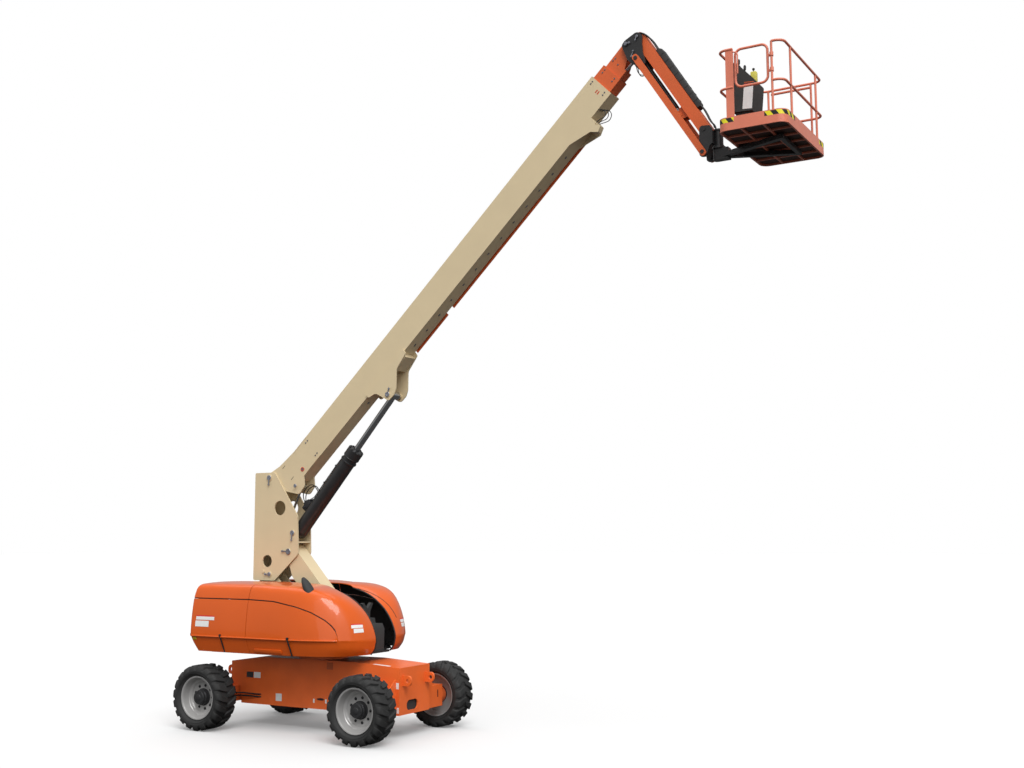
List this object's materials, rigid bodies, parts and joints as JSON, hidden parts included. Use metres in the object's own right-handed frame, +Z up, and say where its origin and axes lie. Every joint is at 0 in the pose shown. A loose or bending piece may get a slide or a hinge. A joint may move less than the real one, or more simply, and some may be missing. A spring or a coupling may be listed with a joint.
{
  "type": "telescopic boom lift",
  "caption": "Self-propelled boom lift: four-wheel chassis, hooded turntable, folding riser, telescoping boom and a hinged jib that carries a railed work platform.",
  "frame": {"origin": "on the ground, in the middle of the wheelbase, on the turntable's swing axis", "axes": "+X forward along the chassis towards the platform, +Y to the machine's left, +Z up"},
  "size_m": [10.0279, 2.5, 10.1641],
  "materials": {
    "orange_steel": "gloss",
    "beige_steel": "satin",
    "black_steel": "satin",
    "orange_moulding": "gloss",
    "platform_paint": "satin",
    "grey_rim": "satin",
    "tyre_rubber": "matte",
    "rod_chrome": "polished",
    "dark_casting": "matte",
    "black_plastic": "matte"
  },
  "bodies": {
    "chassis": {"chassis_frame": "orange_steel", "front_axle": "orange_steel", "rear_axle": "black_steel", "swing_bearing": "dark_casting", "steer_cylinder_barrel": "black_steel"},
    "front_left_wheel": {"front_left_tyre": "tyre_rubber", "front_left_rim": "grey_rim"},
    "front_right_wheel": {"front_right_tyre": "tyre_rubber", "front_right_rim": "grey_rim"},
    "rear_left_wheel": {"rear_left_tyre": "tyre_rubber", "rear_left_rim": "grey_rim"},
    "rear_right_wheel": {"rear_right_tyre": "tyre_rubber", "rear_right_rim": "grey_rim"},
    "left_knuckle": {"left_steer_knuckle": "dark_casting"},
    "right_knuckle": {"right_steer_knuckle": "dark_casting"},
    "tie_rod": {"tie_rod": "black_steel"},
    "steer_rod": {"steer_cylinder_rod": "rod_chrome"},
    "turntable": {"turntable_frame": "black_steel", "counterweight": "dark_casting", "engine_block": "dark_casting", "front_console": "black_plastic"},
    "left_hood": {"left_hood_lid": "orange_moulding", "left_hood_side": "orange_moulding"},
    "right_hood": {"right_hood_lid": "orange_moulding", "right_hood_side": "orange_moulding"},
    "main_link": {"main_link": "beige_steel"},
    "timing_link": {"timing_link": "beige_steel"},
    "upright": {"upright": "beige_steel"},
    "riser_barrel": {"riser_cylinder_barrel": "black_steel"},
    "riser_rod": {"riser_cylinder_rod": "rod_chrome"},
    "boom_base": {"boom_base": "beige_steel", "hose_trough": "orange_steel"},
    "boom_mid": {"boom_mid": "orange_steel"},
    "boom_fly": {"boom_fly": "orange_steel"},
    "lift_barrel": {"lift_cylinder_barrel": "black_steel"},
    "lift_rod": {"lift_cylinder_rod": "rod_chrome"},
    "level_barrel": {"level_cylinder_barrel": "black_steel"},
    "level_rod": {"level_cylinder_rod": "rod_chrome"},
    "knuckle": {"jib_knuckle": "black_steel"},
    "slave_barrel": {"slave_cylinder_barrel": "black_steel"},
    "slave_rod": {"slave_cylinder_rod": "rod_chrome"},
    "jib_beam": {"jib_beam": "black_steel"},
    "jib_link": {"jib_link": "black_steel"},
    "bracket": {"platform_bracket": "black_steel"},
    "jib_barrel": {"jib_cylinder_barrel": "black_steel"},
    "jib_rod": {"jib_cylinder_rod": "rod_chrome"},
    "platform": {"platform_rotator": "black_steel", "platform_support": "black_steel", "platform_deck": "platform_paint", "platform_rails": "platform_paint", "control_console": "black_plastic"},
    "gate": {"platform_gate": "platform_paint"}
  },
  "joints": [
    {"name": "front_left_wheel_spin", "type": "hinge", "parent": "chassis", "child": "front_left_wheel", "pos_m": [1.525, 1.0375, 0.503], "axis": [0, 1, 0], "continuous": true},
    {"name": "front_right_wheel_spin", "type": "hinge", "parent": "chassis", "child": "front_right_wheel", "pos_m": [1.525, -1.0375, 0.503], "axis": [0, 1, 0], "continuous": true},
    {"name": "rear_left_wheel_spin", "type": "hinge", "parent": "left_knuckle", "child": "rear_left_wheel", "pos_m": [-1.525, 1.0375, 0.503], "axis": [0, 1, 0], "continuous": true},
    {"name": "rear_right_wheel_spin", "type": "hinge", "parent": "right_knuckle", "child": "rear_right_wheel", "pos_m": [-1.525, -1.0375, 0.503], "axis": [0, 1, 0], "continuous": true},
    {"name": "rear_steer", "type": "hinge", "parent": "chassis", "child": "right_knuckle", "pos_m": [-1.525, -0.775, 0.503], "axis": [0, 0, 1], "range_deg": [-35, 35]},
    {"name": "left_knuckle_steer", "type": "hinge", "parent": "chassis", "child": "left_knuckle", "pos_m": [-1.525, 0.775, 0.503], "axis": [0, 0, 1], "range_deg": [-35.05, 35.05]},
    {"name": "tie_rod_swing", "type": "hinge", "parent": "right_knuckle", "child": "tie_rod", "pos_m": [-1.755, -0.775, 0.3873], "axis": [0, 0, 1], "range_deg": [-35.05, 35.05]},
    {"name": "steer_rod_slide", "type": "slide", "parent": "chassis", "child": "steer_rod", "axis": [0, -1, 0], "range_m": [-0.13242, 0.13242]},
    {"name": "turntable_swing", "type": "hinge", "parent": "chassis", "child": "turntable", "pos_m": [0, 0, 1.12], "axis": [0, 0, 1], "continuous": true},
    {"name": "left_hood_lift", "type": "hinge", "parent": "turntable", "child": "left_hood", "pos_m": [-0.16, 0.35, 2.19], "axis": [1, 0, 0], "range_deg": [0, 50]},
    {"name": "right_hood_lift", "type": "hinge", "parent": "turntable", "child": "right_hood", "pos_m": [-0.16, -0.35, 2.19], "axis": [-1, 0, 0], "range_deg": [0, 50]},
    {"name": "riser_fold", "type": "hinge", "parent": "turntable", "child": "main_link", "pos_m": [0.34515, 0, 1.72712], "axis": [0, -1, 0], "range_deg": [0, 45]},
    {"name": "upright_level", "type": "hinge", "parent": "main_link", "child": "upright", "pos_m": [-0.615, 0, 2.746], "axis": [0, -1, 0], "range_deg": [-45.05, 0.05]},
    {"name": "timing_link_turn", "type": "hinge", "parent": "turntable", "child": "timing_link", "pos_m": [-0.04685, 0, 1.36012], "axis": [0, -1, 0], "range_deg": [-0.05, 45.05]},
    {"name": "riser_barrel_turn", "type": "hinge", "parent": "turntable", "child": "riser_barrel", "pos_m": [-0.04685, 0, 1.36012], "axis": [0, -1, 0], "range_deg": [-0.05, 45.71]},
    {"name": "riser_rod_slide", "type": "slide", "parent": "riser_barrel", "child": "riser_rod", "axis": [-0.3758, 0, 0.9267], "range_m": [-0.41301, 0.0005]},
    {"name": "boom_lift", "type": "hinge", "parent": "upright", "child": "boom_base", "pos_m": [-1.048, 0, 3.944], "axis": [0, -1, 0], "range_deg": [-49, 31]},
    {"name": "lift_barrel_turn", "type": "hinge", "parent": "upright", "child": "lift_barrel", "pos_m": [-0.539, 0, 3.046], "axis": [0, -1, 0], "range_deg": [-46.11, 29.19]},
    {"name": "lift_rod_slide", "type": "slide", "parent": "lift_barrel", "child": "lift_rod", "axis": [0.6566, 0, 0.7542], "range_m": [-0.84273, 0.53334]},
    {"name": "level_barrel_turn", "type": "hinge", "parent": "upright", "child": "level_barrel", "pos_m": [-1.137, 0, 2.42], "axis": [0, -1, 0], "range_deg": [-6.91, 4.39]},
    {"name": "level_rod_slide", "type": "slide", "parent": "level_barrel", "child": "level_rod", "axis": [0.4218, 0, 0.9067], "range_m": [-0.46724, 0.29578]},
    {"name": "knuckle_level", "type": "hinge", "parent": "boom_fly", "child": "knuckle", "pos_m": [5.45527, 0, 10.00588], "axis": [0, -1, 0], "range_deg": [-31.05, 49.05]},
    {"name": "slave_barrel_turn", "type": "hinge", "parent": "boom_fly", "child": "slave_barrel", "pos_m": [4.91348, 0, 9.27276], "axis": [0, -1, 0], "range_deg": [-1.03, 0.67]},
    {"name": "slave_rod_slide", "type": "slide", "parent": "slave_barrel", "child": "slave_rod", "axis": [0.768, 0, 0.6404], "range_m": [-0.11638, 0.18367]},
    {"name": "boom_extend", "type": "slide", "parent": "boom_base", "child": "boom_mid", "axis": [0.7193, 0, 0.6947], "range_m": [0, 6]},
    {"name": "fly_extend", "type": "slide", "parent": "boom_mid", "child": "boom_fly", "axis": [0.7193, 0, 0.6947], "range_m": [-0.0005, 6.0005]},
    {"name": "jib_lift", "type": "hinge", "parent": "knuckle", "child": "jib_beam", "pos_m": [5.632, 0, 10.083], "axis": [0, -1, 0], "range_deg": [0, 130]},
    {"name": "jib_link_turn", "type": "hinge", "parent": "knuckle", "child": "jib_link", "pos_m": [5.621, 0, 9.753], "axis": [0, -1, 0], "range_deg": [-0.05, 130.05]},
    {"name": "bracket_level", "type": "hinge", "parent": "jib_beam", "child": "bracket", "pos_m": [6.60452, 0, 8.54462], "axis": [0, -1, 0], "range_deg": [-130.05, 0.05]},
    {"name": "jib_barrel_turn", "type": "hinge", "parent": "knuckle", "child": "jib_barrel", "pos_m": [5.683, 0, 9.735], "axis": [0, -1, 0], "range_deg": [-0.05, 130.05]},
    {"name": "jib_rod_slide", "type": "slide", "parent": "jib_barrel", "child": "jib_rod", "axis": [0.5286, 0, -0.8489], "range_m": [-0.0005, 0.63791]},
    {"name": "platform_rotate", "type": "hinge", "parent": "bracket", "child": "platform", "pos_m": [6.77, 0, 8.305], "axis": [0, 0, 1], "range_deg": [-90, 90]},
    {"name": "gate_swing", "type": "hinge", "parent": "platform", "child": "gate", "pos_m": [7.825, -0.8767, 9], "axis": [0, 0, -1], "range_deg": [0, 90]}
  ],
  "couplings": [
    {"joint": "left_knuckle_steer", "follows": "rear_steer", "ratio": 1},
    {"joint": "tie_rod_swing", "follows": "rear_steer", "ratio": -1},
    {"joint": "steer_rod_slide", "follows": "rear_steer", "m_per_rad": 0.21596},
    {"joint": "upright_level", "follows": "riser_fold", "ratio": -1},
    {"joint": "timing_link_turn", "follows": "riser_fold", "ratio": 1},
    {"joint": "riser_barrel_turn", "follows": "riser_fold", "ratio": 1.0147},
    {"joint": "riser_rod_slide", "follows": "riser_fold", "m_per_rad": -0.52523},
    {"joint": "lift_barrel_turn", "follows": "boom_lift", "ratio": 0.94},
    {"joint": "lift_rod_slide", "follows": "boom_lift", "m_per_rad": 0.98482},
    {"joint": "level_barrel_turn", "follows": "boom_lift", "ratio": 0.14},
    {"joint": "level_rod_slide", "follows": "boom_lift", "m_per_rad": 0.54575},
    {"joint": "knuckle_level", "follows": "boom_lift", "ratio": -1},
    {"joint": "slave_barrel_turn", "follows": "boom_lift", "ratio": 0.020028},
    {"joint": "slave_rod_slide", "follows": "boom_lift", "m_per_rad": -0.21418},
    {"joint": "fly_extend", "follows": "boom_extend", "ratio": 1},
    {"joint": "jib_link_turn", "follows": "jib_lift", "ratio": 1},
    {"joint": "bracket_level", "follows": "jib_lift", "ratio": -1},
    {"joint": "jib_barrel_turn", "follows": "jib_lift", "ratio": 1},
    {"joint": "jib_rod_slide", "follows": "jib_lift", "m_per_rad": 0.28093}
  ]
}
